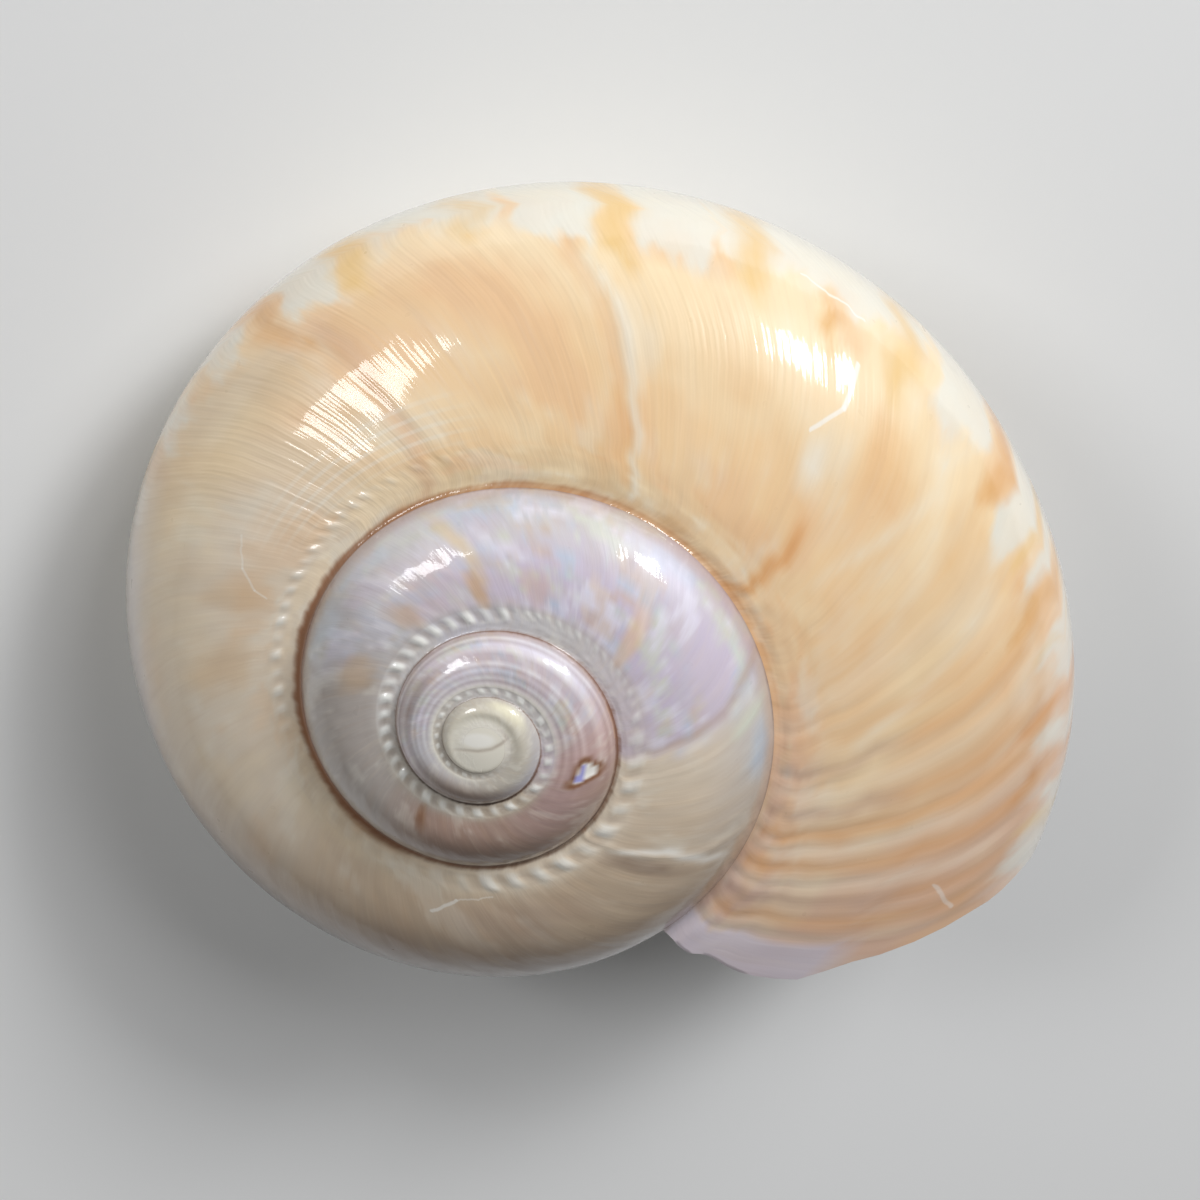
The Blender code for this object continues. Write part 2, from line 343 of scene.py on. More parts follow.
# Beads grown up to a growth line, from their lengths
beadStep = 0.05
beadLines = np.arange(0.0, shellForm["rows"], beadStep)
beadCounts = np.cumsum(beadStep / np.interp(beadLines, beadSteps["row"], beadSteps["length"]))


def beadNumber(line):
    return np.interp(line, beadLines, beadCounts)


def beadStage(line, measure):
    return np.interp(line, beadSteps["row"], beadSteps[measure])


# Height of the beads along the growth, 0 between two of them, each a little different
def beadCrest(line):
    number = beadNumber(line)
    crest = (0.5 + 0.5 * np.cos(2.0 * math.pi * number)) ** beadForm["sharpness"]
    usual, more, often = beadForm["difference"]
    return crest * (usual + more * np.sin(np.rint(number) * often))


def beadBand(line, point):
    return np.clip(1.0 - ((point - beadStage(line, "middle")) / beadStage(line, "half")) ** 2, 0.0, 1.0)


# Distance from the middle of the chip, 1 at its edge
def chipReach(row, point):
    atRow, atPoint, wide, tall = reliefSet["chip"]
    x, y = (row - atRow) / wide, (point - atPoint) / tall
    much, often, begin = reliefSet["chipRagged"]
    return np.hypot(x, y) * (1.0 + much * np.sin(often * np.arctan2(y, x) + begin))


# Height of the ornament over the smooth surface, as a share of the tube's size
def reliefAt(row, point):
    line = growthLine(row, point)
    strength = beadForm["height"] * beadStage(line, "strength") * beadBand(line, point)
    relief = strength * (beadCrest(line) - beadForm["lowPlace"])
    middle, width, depth = reliefSet["channel"]
    relief = relief - depth * bell(point, middle, width) * between(row, *reliefSet["channelRows"])
    cord = np.interp(line, reliefSet["cordRows"], reliefSet["cordHeights"])
    relief = relief + cord * bell(point, *reliefSet["cordBand"])
    threads = np.interp(line, reliefSet["threadRows"], reliefSet["threadHeights"])
    threads = threads * between(point, 3.4, 3.8) * between(point, 7.6, 7.0)
    relief = relief + threads * np.cos(2.0 * math.pi * point / reliefSet["threadGap"])
    waves = uneven(line * 0.55, point * 0.4, 5.0) * between(line, *reliefSet["unevenRows"])
    relief = relief + reliefSet["uneven"] * waves
    upper = between(point, 9.0, 7.0)
    for at, width, depth in reliefSet["grooves"]:
        relief = relief - depth * bell(line, at, width) * upper
    width, depth = reliefSet["lipGroove"]
    for k, at in enumerate(reliefSet["lipGrooves"]):
        bent = at + 0.05 * np.sin(point * 1.7 + k)
        relief = relief - depth * (0.7 + 0.3 * math.sin(2.3 * k)) * bell(line, bent, width) * upper
    chip = chipReach(row, point)
    relief = relief - reliefSet["chipDepth"] * (1.0 - ease(chip))
    relief = relief + reliefSet["chipRim"] * bell(chip, 1.15, 0.2)
    # Nothing at the suture and at the grip, which two turns share
    return relief * between(point, 0.0, 0.25) * between(point, grip, grip - 0.5)


# Folds of the umbilical rim, which the next turn's seam shares
def rimFold(row, point):
    own = bell(point, rim, shellForm["foldWidth"]) * np.cos(math.pi * (row - 1.0))
    inner = bell(point, seam, shellForm["foldWidth"]) * np.cos(math.pi * (row - shellForm["turnBack"] - 1.0))
    return own * (point > 12.0) + inner * (point > rim)


def skinPlace(row, point):
    place = smoothPlace(row, point)
    size = tubeSize(coilAngle(row, point))[..., None]
    relief = np.where(point <= grip, reliefAt(row, point), 0.0)[..., None]
    fold = shellForm["rimFold"] * rimFold(row, point)[..., None]
    radial = place * np.array([1.0, 1.0, 0.0])
    radial = radial / np.maximum(np.linalg.norm(radial, axis=-1, keepdims=True), 1e-9)
    turned = -shellForm["foldOutward"] * radial - np.array([0.0, 0.0, 1.0])
    return place - size * relief * inwardAt(row, point) + size * fold * turned


# Inner surface: under the skin by the wall, and meeting the turn before at both ends
def liningPlace(row, point):
    full = shellForm["wall"] * np.sqrt(tubeSize(rowAngle(row)) / tubeSize(shellForm["mouthAngle"]))
    share = np.minimum((shellForm["rows"] - row) / shellForm["lipTaperRows"], 1.0)
    wall = shellForm["lipEdge"] + (full - shellForm["lipEdge"]) * share
    inner = smoothPlace(row, point) + wall[..., None] * inwardAt(row, point)
    back = row - shellForm["turnBack"]
    first = skinPlace(back, np.full_like(point, grip + 1.0))
    last = skinPlace(back, np.full_like(point, rim - 1.0))
    begin = np.clip(1.0 - point, 0.0, 1.0)[..., None]
    end = np.clip(point - seam + 1.0, 0.0, 1.0)[..., None]
    return inner * (1.0 - begin - end) + first * begin + last * end


leanSide = math.radians(shellForm["leanTowards"])
leanAxis = Vector((math.sin(leanSide), math.cos(leanSide), 0.0))
standTurn = np.array(Matrix.Rotation(math.radians(shellForm["lean"]), 3, leanAxis))


# Embryonic shell at the apex, in metres from the coiling axis: a smooth low dome down to a height,
# with a fine line across (its places and its strength at each) and a pale oval above the line
nucleus = {
    "top": -0.000035,
    "fall": 0.12,
    "reach": (0.00058, 0.00092),
    "above": -0.0005,
    "line": ((-0.00071, -0.00013), (-0.00042, -0.00011), (-0.00005, -0.00013), (0.00028, -0.00007),
             (0.00051, 0.00006), (0.00066, 0.00019), (0.00052, 0.00038), (0.00030, 0.00050)),
    "lineShares": (0.1, 0.6, 0.8, 0.8, 1.0, 0.6, 0.3, 0.0),
    "lineWidth": 0.000045,
    "lineDepth": 0.000007,
    "paleReach": (0.00055, 0.0009),
    "oval": (-0.00003, 0.00015, 0.00042, 0.00019),
}


# How strongly the fine line shows at a place
def nucleusLine(place):
    found = np.zeros(place.shape[:-1])
    knots = np.array(nucleus["line"])
    shares = nucleus["lineShares"]
    for k in range(len(knots) - 1):
        along = knots[k + 1] - knots[k]
        share = np.clip(((place[..., :2] - knots[k]) @ along) / (along @ along), 0.0, 1.0)
        away = np.linalg.norm(place[..., :2] - knots[k] - share[..., None] * along, axis=-1)
        strength = shares[k] + (shares[k + 1] - shares[k]) * share
        found = np.maximum(found, strength * bell(away, 0.0, nucleus["lineWidth"]))
    return found * (place[..., 2] > nucleus["above"])


# The apex drawn towards the dome
def domed(place):
    radius = np.hypot(place[..., 0], place[..., 1])
    begin, end = nucleus["reach"]
    share = between(radius, end, begin) * (place[..., 2] > nucleus["above"])
    dome = nucleus["top"] - nucleus["fall"] * radius * radius / end
    dome = dome - nucleus["lineDepth"] * nucleusLine(place)
    placed = place.copy()
    placed[..., 2] += share * (dome - place[..., 2])
    return placed


# The shell stands leaning and is worn flat where it touches the surface
def standing(place):
    placed = (domed(place) @ standTurn.T + np.array(shellForm["standShift"])) * shellForm["drawnIn"]
    placed[..., 2] = np.maximum(placed[..., 2], 0.0)
    return placed


def fineRows(begin, end, parts):
    return np.linspace(begin, end, (end - begin) * parts + 1)


# Colours of the shell, as display values of 0 to 255
shellTones = {
    "chalk": (214, 206, 194),
    "bone": (224, 217, 198),
    "stone": (196, 188, 176),
    "pearlGrey": (206, 204, 212),
    "rosePearl": (216, 202, 210),
    "roseBrown": (206, 172, 168),
    "umber": (176, 148, 134),
    "greyBeige": (196, 182, 164),
    "silver": (212, 208, 206),
    "dove": (180, 171, 164),
    "mauve": (178, 150, 144),
    "lilacWhite": (240, 236, 250),
    "lilac": (214, 202, 220),
    "sand": (218, 200, 174),
    "paleSand": (234, 218, 196),
    "drab": (206, 184, 158),
    "wheat": (232, 206, 166),
    "apricot": (248, 212, 164),
    "cream": (253, 230, 190),
    "peach": (242, 196, 150),
    "rosyTan": (224, 184, 162),
    "blush": (238, 198, 168),
    "lipRose": (206, 176, 164),
    "nacreGrey": (222, 214, 226),
    "ivory": (247, 243, 230),
    "milk": (236, 234, 222),
    "beadWhite": (246, 246, 240),
    "strawHighlight": (252, 246, 212),
    "iceBlue": (196, 210, 228),
    "paleGreen": (222, 226, 208),
    "flame": (230, 172, 104),
    "amber": (240, 200, 130),
    "orange": (226, 160, 98),
    "rust": (202, 148, 112),
    "tan": (214, 168, 116),
    "smoke": (128, 106, 92),
    "shadeDusk": (92, 74, 62),
    "copper": (172, 112, 62),
    "rustBrown": (146, 90, 48),
    "bark": (122, 74, 40),
    "earth": (62, 36, 22),
    "glintPeriwinkle": (150, 150, 226),
    "white": (255, 252, 244),
}

# Ground tones along the growth: growth line, then the tone beside the suture, on the shoulder and
# towards the periphery
groundStages = (
    (0, "bone", "bone", "bone"),
    (26, "chalk", "bone", "stone"),
    (44, "stone", "stone", "pearlGrey"),
    (58, "stone", "pearlGrey", "rosePearl"),
    (68, "silver", "rosePearl", "rosePearl"),
    (78, "silver", "rosePearl", "lilac"),
    (83, "rosePearl", "roseBrown", "roseBrown"),
    (88, "greyBeige", "mauve", "umber"),
    (92, "greyBeige", "umber", "umber"),
    (97, "stone", "umber", "umber"),
    (101, "stone", "dove", "dove"),
    (108, "silver", "dove", "dove"),
    (112, "silver", "pearlGrey", "dove"),
    (114, "pearlGrey", "rosePearl", "silver"),
    (121, "silver", "lilac", "silver"),
    (129.4, "rosePearl", "lilac", "lilac"),
    (130.1, "paleSand", "paleSand", "silver"),
    (137, "paleSand", "drab", "drab"),
    (146, "sand", "drab", "greyBeige"),
    (150, "sand", "paleSand", "sand"),
    (154, "paleSand", "paleSand", "sand"),
    (158, "paleSand", "paleSand", "wheat"),
    (163, "wheat", "apricot", "apricot"),
    (168, "wheat", "apricot", "cream"),
    (175, "peach", "apricot", "cream"),
    (178, "blush", "apricot", "apricot"),
    (181, "rosyTan", "blush", "blush"),
    (184, "lipRose", "rosyTan", "blush"),
)

# Soft touches of colour: growth line, point, half length in rows, half width in points, share, tone
softTouches = (
    # Painted highlight near the apex
    (28.0, 6.2, 4.5, 1.4, 0.7, "strawHighlight"),
    (97.9, 3.9, 0.5, 0.9, 0.55, "bark"),
    # Painted shade on the lower side of the turn
    (49.0, 6.0, 7.0, 2.2, 0.75, "smoke"),
    (62.0, 6.2, 4.0, 1.4, 0.40, "smoke"),
    # Painted highlights, in this touch and the next
    (67.0, 4.0, 5.0, 1.0, 0.50, "lilacWhite"),
    (76.0, 6.9, 6.0, 1.2, 0.70, "lilacWhite"),
    # Painted shade on the lower side of the turn
    (95.0, 6.4, 5.5, 2.2, 0.80, "smoke"),
    (108.6, 4.2, 1.3, 0.9, 0.35, "tan"),
    (112.8, 3.9, 0.9, 0.9, 0.4, "tan"),
    (111.0, 6.6, 1.5, 0.8, 0.5, "iceBlue"),
    (116.8, 3.8, 0.5, 1.0, 0.6, "tan"),
    (117.3, 5.6, 0.5, 1.6, 0.45, "amber"),
    (119.8, 4.0, 0.9, 0.8, 0.4, "rosyTan"),
    (124.6, 4.0, 0.6, 1.4, 0.5, "peach"),
    (128.3, 5.4, 1.4, 1.3, 0.5, "lilac"),
    (130.9, 6.6, 0.35, 0.9, 0.6, "paleGreen"),
    (132.2, 7.1, 1.1, 0.7, 0.7, "iceBlue"),
    (135.5, 4.4, 0.5, 1.4, 0.45, "smoke"),
    (140.5, 4.2, 3.0, 1.0, 0.25, "umber"),
    (146.0, 0.6, 2.2, 0.6, 0.5, "bark"),
    # Painted shade along the lower edge of the last turn, in this touch and the next
    (144.5, 7.4, 9.0, 2.8, 0.85, "smoke"),
    (145.0, 7.7, 8.0, 1.6, 0.60, "shadeDusk"),
    (154.3, 4.1, 1.2, 1.0, 0.30, "tan"),
    (156.3, 4.0, 0.5, 1.0, 0.30, "tan"),
    (156.0, 7.6, 4.0, 1.4, 0.6, "pearlGrey"),
    # Painted highlight
    (125.2, 6.9, 2.0, 1.0, 0.6, "lilacWhite"),
    (161.5, 6.4, 1.6, 0.8, 0.3, "stone"),
    (165.8, 6.0, 2.0, 1.2, 0.35, "peach"),
    (169.8, 0.8, 0.5, 0.7, 0.35, "tan"),
    (172.6, 4.8, 0.45, 0.5, 0.75, "ivory"),
    (174.2, 5.8, 0.8, 0.8, 0.35, "flame"),
    (175.4, 5.2, 0.5, 0.8, 0.45, "cream"),
    (176.4, 6.0, 0.7, 0.8, 0.35, "flame"),
    (177.0, 4.7, 0.4, 1.1, 0.40, "cream"),
    (173.9, 4.6, 0.6, 0.9, 0.40, "apricot"),
    (176.2, 3.6, 2.2, 1.0, 0.35, "peach"),
    (178.0, 0.9, 0.25, 0.4, 0.5, "ivory"),
    (180.0, 3.0, 3.0, 3.0, 0.25, "cream"),
    (182.2, 1.8, 1.2, 1.8, 0.35, "lipRose"),
)

# Growth lines that carry colour: line at point 3, its slant in rows for each point, half width,
# first and last point, share, tone
colouredLines = (
    (129.75, 0.0, 0.20, 3.0, 8.0, 0.50, "umber"),
    (135.1, -0.25, 0.17, 3.3, 5.0, 0.90, "white"),
    (133.82, 0.47, 0.18, 4.7, 6.8, 0.90, "white"),
    (131.0, 0.0, 0.14, 6.0, 7.7, 0.70, "paleGreen"),
    (162.6, 0.25, 0.26, 0.3, 6.5, 0.38, "rust"),
    (167.6, 0.1, 0.35, 0.5, 3.5, 0.30, "tan"),
    (168.15, 0.0, 0.20, 1.5, 7.0, 0.35, "orange"),
    (168.45, 0.0, 0.13, 0.8, 6.6, 0.65, "ivory"),
    (172.8, 0.15, 0.19, 0.2, 4.0, 0.85, "orange"),
    (172.35, 0.1, 0.16, 0.2, 3.5, 0.35, "ivory"),
    (172.7, 0.0, 0.14, 6.5, 7.5, 0.75, "flame"),
    (173.6, 0.50, 0.14, 3.5, 7.3, 0.35, "ivory"),
    (178.0, -0.30, 0.14, 3.5, 7.3, 0.35, "ivory"),
    (176.4, -0.35, 0.14, 4.0, 7.5, 0.30, "ivory"),
    (175.2, 0.1, 0.30, 1.0, 5.0, 0.25, "cream"),
    (176.4, 0.1, 0.30, 1.5, 6.5, 0.25, "ivory"),
    (177.4, 0.1, 0.18, 3.0, 7.0, 0.25, "orange"),
    (178.15, 0.08, 0.20, 0.4, 4.5, 0.40, "umber"),
    (178.15, 0.08, 0.18, 4.3, 7.0, 0.35, "orange"),
    (178.75, 0.08, 0.18, 0.4, 7.0, 0.25, "ivory"),
    (179.3, 0.08, 0.19, 0.4, 4.5, 0.40, "umber"),
    (179.3, 0.08, 0.17, 4.3, 7.0, 0.35, "orange"),
    (179.9, 0.06, 0.20, 0.4, 7.2, 0.50, "orange"),
    (180.35, 0.06, 0.15, 0.4, 6.5, 0.25, "ivory"),
    (180.8, 0.05, 0.20, 0.4, 7.2, 0.50, "orange"),
    (181.3, 0.05, 0.14, 0.4, 6.5, 0.22, "ivory"),
    (181.75, 0.05, 0.18, 0.4, 5.0, 0.40, "umber"),
    (181.75, 0.05, 0.16, 4.8, 6.5, 0.35, "orange"),
    (182.3, 0.03, 0.17, 0.4, 6.5, 0.40, "orange"),
    (182.75, 0.0, 0.12, 0.4, 6.0, 0.25, "ivory"),
)

# White patches of the periphery: first and last growth line, upper edge, share
whitePatches = (
    (157.6, 159.2, 7.4, 0.35),
    (159.8, 160.9, 6.8, 0.55),
    (161.4, 162.4, 6.9, 0.60),
    (163.3, 164.4, 6.9, 1.00),
    (164.9, 165.7, 7.0, 0.55),
    (165.2, 167.3, 7.8, 0.95),
    (167.5, 168.8, 7.1, 1.00),
    (169.4, 170.7, 6.8, 1.00),
    (170.7, 172.5, 7.5, 0.95),
    (172.3, 174.4, 7.8, 0.90),
    (174.7, 175.9, 7.1, 0.95),
    (176.7, 177.4, 6.9, 0.95),
    (177.7, 178.1, 7.0, 0.80),
    (178.8, 179.7, 7.0, 0.90),
    (180.2, 180.7, 6.9, 0.80),
    (181.2, 182.8, 7.1, 0.70),
)

# Orange flames between them: growth line where the slant begins, half width, first point, share, tone
flames = (
    (159.4, 0.50, 6.8, 0.40, "tan"),
    (162.9, 0.38, 6.0, 0.62, "flame"),
    (164.7, 0.42, 6.4, 0.75, "amber"),
    (166.8, 0.50, 6.9, 0.50, "amber"),
    (169.05, 0.34, 6.2, 0.75, "amber"),
    (171.3, 0.40, 6.5, 0.60, "amber"),
    (174.0, 0.36, 6.3, 0.60, "amber"),
    (176.3, 0.34, 6.7, 0.80, "flame"),
    (177.5, 0.18, 6.5, 0.55, "amber"),
    (178.3, 0.26, 6.3, 0.65, "flame"),
    (179.0, 0.12, 6.5, 0.45, "amber"),
    (179.9, 0.22, 6.0, 0.65, "orange"),
    (180.8, 0.19, 6.3, 0.55, "orange"),
    (181.8, 0.22, 6.6, 0.50, "amber"),
    (183.1, 0.20, 6.6, 0.60, "orange"),
)

# Brown film in the suture, with painted shade in the crease: growth line, width in points, share, tone
filmAndShadeStages = (
    (0, 0.12, 0.4, "smoke"),
    (30, 0.15, 0.5, "smoke"),
    (50, 0.30, 0.8, "bark"),
    (60, 0.30, 0.6, "smoke"),
    (84, 0.35, 0.8, "bark"),
    (92, 0.65, 0.9, "earth"),
    (98, 0.60, 0.8, "earth"),
    (106, 0.30, 0.5, "bark"),
    (122, 0.35, 0.5, "bark"),
    (128, 0.45, 0.7, "bark"),
    (143, 0.70, 0.8, "bark"),
    (146, 0.85, 0.9, "bark"),
    (150, 0.85, 1.0, "rustBrown"),
    (155, 0.80, 1.0, "rustBrown"),
    (159, 0.65, 0.9, "rustBrown"),
    (164, 0.55, 0.7, "copper"),
    (172, 0.60, 0.6, "copper"),
    (178, 0.35, 0.3, "tan"),
    (184, 0.20, 0.4, "umber"),
)

# How much of the film, with painted shade, lies on the face above the next suture
filmAndShadeAbove = {
    "row": (0, 36, 40, 58, 64, 80, 86, 98, 104, 111, 116, 139),
    "share": (0.2, 0.5, 0.9, 0.9, 0.8, 0.8, 0.9, 0.95, 0.9, 0.9, 0.5, 0.4),
    "width": (0.2, 0.3, 0.9, 0.6, 0.35, 0.4, 0.6, 0.7, 0.45, 0.35, 0.15, 0.3),
    "lastRow": 139.9,
}

# Play of colour on the pearly stretches: first and last growth line, first point, share
pearlyStretches = ((58, 81, 3.4, 0.8), (109, 118, 3.1, 0.45), (118, 130.0, 3.0, 1.0))


def toneOf(name):
    return np.array(shellTones[name], float)


# Lays a tone over a colour by a share between 0 and 1
def laid(colour, share, name):
    share = np.clip(share, 0.0, 1.0)[..., None]
    return colour * (1.0 - share) + toneOf(name) * share


def window(value, low, high, soft):
    return ease((value - low) / soft + 0.5) * ease((high - value) / soft + 0.5)


# Ground colour along the growth, in three bands round the section
def groundColour(line, point):
    stages = [stage[0] for stage in groundStages]
    bands = []
    for band in (1, 2, 3):
        tones = np.array([toneOf(stage[band]) for stage in groundStages])
        bands.append(np.stack([np.interp(line, stages, tones[:, k]) for k in range(3)], -1))
    softness = np.where(line < 150.0, 0.7, 2.2)
    beaded = ease((3.5 - point) / softness)[..., None]
    outer = between(point, 4.6, 6.8)[..., None]
    shoulder = bands[1] * (1.0 - outer) + bands[2] * outer
    return shoulder * (1.0 - beaded) + bands[0] * beaded


# Shares of the tones that are laid over the ground
laidShares = {
    "cloud": 0.22,
    "laterCloud": 0.28,
    "tanStreak": 0.13,
    "ivoryStreak": 0.16,
    "wisp": 0.30,
    "play": 0.7,
    "playWisp": 0.6,
    "playTan": 0.25,
    "beadCrest": 0.95,
    "beadLow": 0.10,
    "middleBeadLow": 0.14,
    "lineBelowBeads": 0.10,
    "youngCord": 0.7,
    "thread": 0.25,
    "chipRim": 0.75,
    "chipGlint": 0.8,
    "lipMargin": 0.85,
    "base": 0.8,
    "umbilicus": 0.35,
    "hiddenFace": 0.5,
    "nucleus": 0.7,
    "nucleusOval": 0.8,
    "nucleusLine": 0.36,
}


# Clouds, streaks and wisps, stronger towards the lip
def cloudedColour(colour, line, point, wisp):
    cloud = uneven(line * 0.32, point * 0.45, 11.0, 4)
    stronger = laidShares["laterCloud"] * between(line, 154.0, 162.0)
    clouded = between(line, 128.0, 152.0) * (laidShares["cloud"] + stronger)
    colour = laid(colour, clouded * between(cloud, 0.05, 0.55), "peach")
    colour = laid(colour, clouded * between(cloud, -0.05, -0.55), "cream")
    streak = uneven(line * 1.1, point * 0.22, 17.0, 4)
    streaky = 0.4 + 0.8 * between(line, 172.0, 178.0)
    colour = laid(colour, laidShares["tanStreak"] * streaky * between(streak, 0.0, 0.6), "tan")
    colour = laid(colour, laidShares["ivoryStreak"] * streaky * between(streak, 0.0, -0.6), "ivory")
    return laid(colour, laidShares["wisp"] * between(wisp, 0.1, 0.6), "ivory")


# Patches of the pearly tones on those stretches
def pearlyColour(colour, line, point, wisp):
    along, over = line * 0.32 + point * 0.3, point * 0.7 - line * 0.12
    play = [uneven(along, over, 23.0 + 7.0 * k, 5) for k in range(4)]
    for low, high, start, most in pearlyStretches:
        here = most * window(line, low, high, 2.0) * between(point, start, start + 0.5)
        for field, name in zip(play, ("lilac", "iceBlue", "paleGreen", "rosePearl")):
            colour = laid(colour, laidShares["play"] * here * between(field, 0.05, 0.5), name)
        colour = laid(colour, laidShares["playWisp"] * here * between(wisp, 0.05, 0.4), "lilacWhite")
        colour = laid(colour, laidShares["playTan"] * here * between(play[0], -0.2, -0.6), "tan")
    return colour


# Soft touches and coloured growth lines
def touchedColour(colour, line, ragged, point):
    wander = 0.35 * uneven(line * 0.9, point * 0.9, 31.0)
    for atLine, atPoint, long, wide, share, name in softTouches:
        away = np.hypot((line - atLine) / long, (point - atPoint) / wide) + wander / max(1.0, long)
        colour = laid(colour, share * ease(1.25 - away), name)
    for at, slant, half, first, last, share, name in colouredLines:
        middle = at + slant * (point - 3.0)
        mark = bell(ragged, middle, half) * window(point, first, last, 0.6)
        colour = laid(colour, share * (0.8 + 0.6 * wander) * mark, name)
    return colour


# Beads with pale crests and darker low places, the line and cord below them, and spiral threads
def beadedColour(colour, line, point):
    strength = beadStage(line, "strength") * beadBand(line, point)
    crest = beadCrest(line)
    cordPoint = reliefSet["cordBand"][0]
    colour = laid(colour, laidShares["beadCrest"] * strength * between(crest, 0.1, 0.7), "beadWhite")
    low = laidShares["beadLow"] + laidShares["middleBeadLow"] * window(line, 90.0, 143.0, 10.0)
    colour = laid(colour, low * strength * between(crest, 0.3, -0.1), "smoke")
    below = bell(point, cordPoint, 0.12) * window(line, 84.0, 128.0, 6.0)
    colour = laid(colour, laidShares["lineBelowBeads"] * below, "smoke")
    young = bell(point, cordPoint + 0.05, 0.25) * window(line, 44.0, 82.0, 10.0)
    colour = laid(colour, laidShares["youngCord"] * young, "ivory")
    threads = laidShares["thread"] * window(line, 55.0, 84.0, 8.0) * window(point, 3.5, 7.6, 0.6)
    wave = np.cos(2.0 * math.pi * point / reliefSet["threadGap"])
    colour = laid(colour, threads * ease(wave), "ivory")
    return laid(colour, threads * ease(-wave), "smoke")


# Chip with a dark broken rim and a painted reflection on its floor, white, and bluish where its lower half
# glints
def chippedColour(colour, row, point):
    chip = chipReach(row, point)
    atPoint = reliefSet["chip"][1]
    colour = laid(colour, laidShares["chipRim"] * between(chip, 1.3, 0.9), "bark")
    colour = laid(colour, between(chip, 0.85, 0.55), "white")
    glint = between(chip, 0.7, 0.5) * between(point, atPoint + 0.1, atPoint - 0.1)
    return laid(colour, laidShares["chipGlint"] * glint, "glintPeriwinkle")


# Colour of the skin before the fine lines, from display values of 0 to 255
def paintedColour(row, point):
    line = growthLine(row, point)
    ragged = line + 0.16 * uneven(point * 1.3, line * 0.15, 3.0)
    wisp = uneven(line * 0.5 + point * 0.25, point * 0.5 - line * 0.2, 19.0, 5)
    colour = groundColour(line, point)
    colour = cloudedColour(colour, line, point, wisp)
    colour = pearlyColour(colour, line, point, wisp)
    colour = touchedColour(colour, line, ragged, point)
    colour = beadedColour(colour, line, point)
    colour = chippedColour(colour, row, point)

    # Thin pearly margin of the lip, base, umbilicus, and brown film with painted shade on the face above the
    # next suture
    margin = between(ragged, 182.75, 183.05) * between(point, 5.0, 4.5)
    colour = laid(colour, laidShares["lipMargin"] * margin, "nacreGrey")
    colour = laid(colour, laidShares["base"] * between(point, 8.6, 10.2), "ivory")
    colour = laid(colour, laidShares["umbilicus"] * between(point, 12.0, rim), "wheat")
    hidden = (line < 139.0) * between(row, 40.0, 60.0) * between(point, 6.9, 7.9)
    return laid(colour, laidShares["hiddenFace"] * hidden, "umber")


# The embryonic shell's own colour: pale, with a paler oval above the fine line
def nucleusColour(colour, place):
    radius = np.hypot(place[..., 0], place[..., 1])
    begin, end = nucleus["paleReach"]
    young = between(radius, end, begin) * (place[..., 2] > nucleus["above"])
    colour = laid(colour, laidShares["nucleus"] * young, "ivory")
    x, y, wide, tall = nucleus["oval"]
    oval = np.hypot((place[..., 0] - x) / wide, (place[..., 1] - y) / tall)
    colour = laid(colour, laidShares["nucleusOval"] * young * between(oval, 1.25, 0.65), "white")
    return laid(colour, laidShares["nucleusLine"] * nucleusLine(place), "smoke")


# The periphery's patches and flames slant forward below a point, and their edges are ragged
flameSlant = 0.3
slantFrom = 7.0


def peripheryLine(line, point, seed):
    slanted = line - flameSlant * np.maximum(point - slantFrom, 0.0)
    return slanted + 0.14 * uneven(point * 1.4, line * 0.4, seed)


# Share of opaque white at a place
def whiteAt(row, point):
    line = growthLine(row, point)
    ragged = peripheryLine(line, point, 41.0)
    edge = 0.7 * uneven(line * 1.1, point * 0.3, 43.0, 4)
    white = np.zeros_like(line)
    for first, last, upper, share in whitePatches:
        patch = window(ragged, first, last, 0.4) * ease((point - upper + edge) / 1.1 + 0.5)
        white = np.maximum(white, share * patch)
    return white * between(point, 11.5, 9.5)


# What lies over the ground: the flames of the periphery and the brown film in the suture, which also carries
# painted shade
def overColour(row, point):
    line = growthLine(row, point)
    ragged = peripheryLine(line, point, 53.0)
    colour = np.zeros(line.shape + (3,)) + toneOf("flame")
    most = np.zeros_like(line)
    for at, half, first, share, name in flames:
        width = half * (0.6 + 0.5 * between(point, first, first + 1.2))
        mark = share * bell(ragged, at, width) * ease((point - first) / 0.8 + 0.5)
        mark = mark * (1.0 - 0.75 * between(point, 9.5, 12.5))
        colour[mark > most] = toneOf(name)
        most = np.maximum(most, mark)

    # Film and painted shade: widest where its stage says, and also on the face above the next suture
    stages = [stage[0] for stage in filmAndShadeStages]
    width = np.interp(line, stages, [stage[1] for stage in filmAndShadeStages])
    width = width * (1.0 + 0.35 * uneven(line * 0.7, np.zeros_like(line), 47.0))
    filmAndShade = ease(1.3 - point / width) * np.interp(line, stages, [stage[2] for stage in filmAndShadeStages])
    reach = np.interp(row, filmAndShadeAbove["row"], filmAndShadeAbove["width"])
    above = ease((point - grip + reach) / (0.5 * reach + 0.1))
    above = above * (row < filmAndShadeAbove["lastRow"]) * (point <= grip)
    filmAndShade = np.maximum(filmAndShade, above * np.interp(row, filmAndShadeAbove["row"], filmAndShadeAbove["share"]))
    tones = np.array([toneOf(stage[3]) for stage in filmAndShadeStages])
    filmAndShadeTone = np.stack([np.interp(line, stages, tones[:, k]) for k in range(3)], -1)
    lies = (point < 4.0) | (filmAndShade > most)
    colour[lies] = filmAndShadeTone[lies]
    return colour, np.maximum(most, filmAndShade)


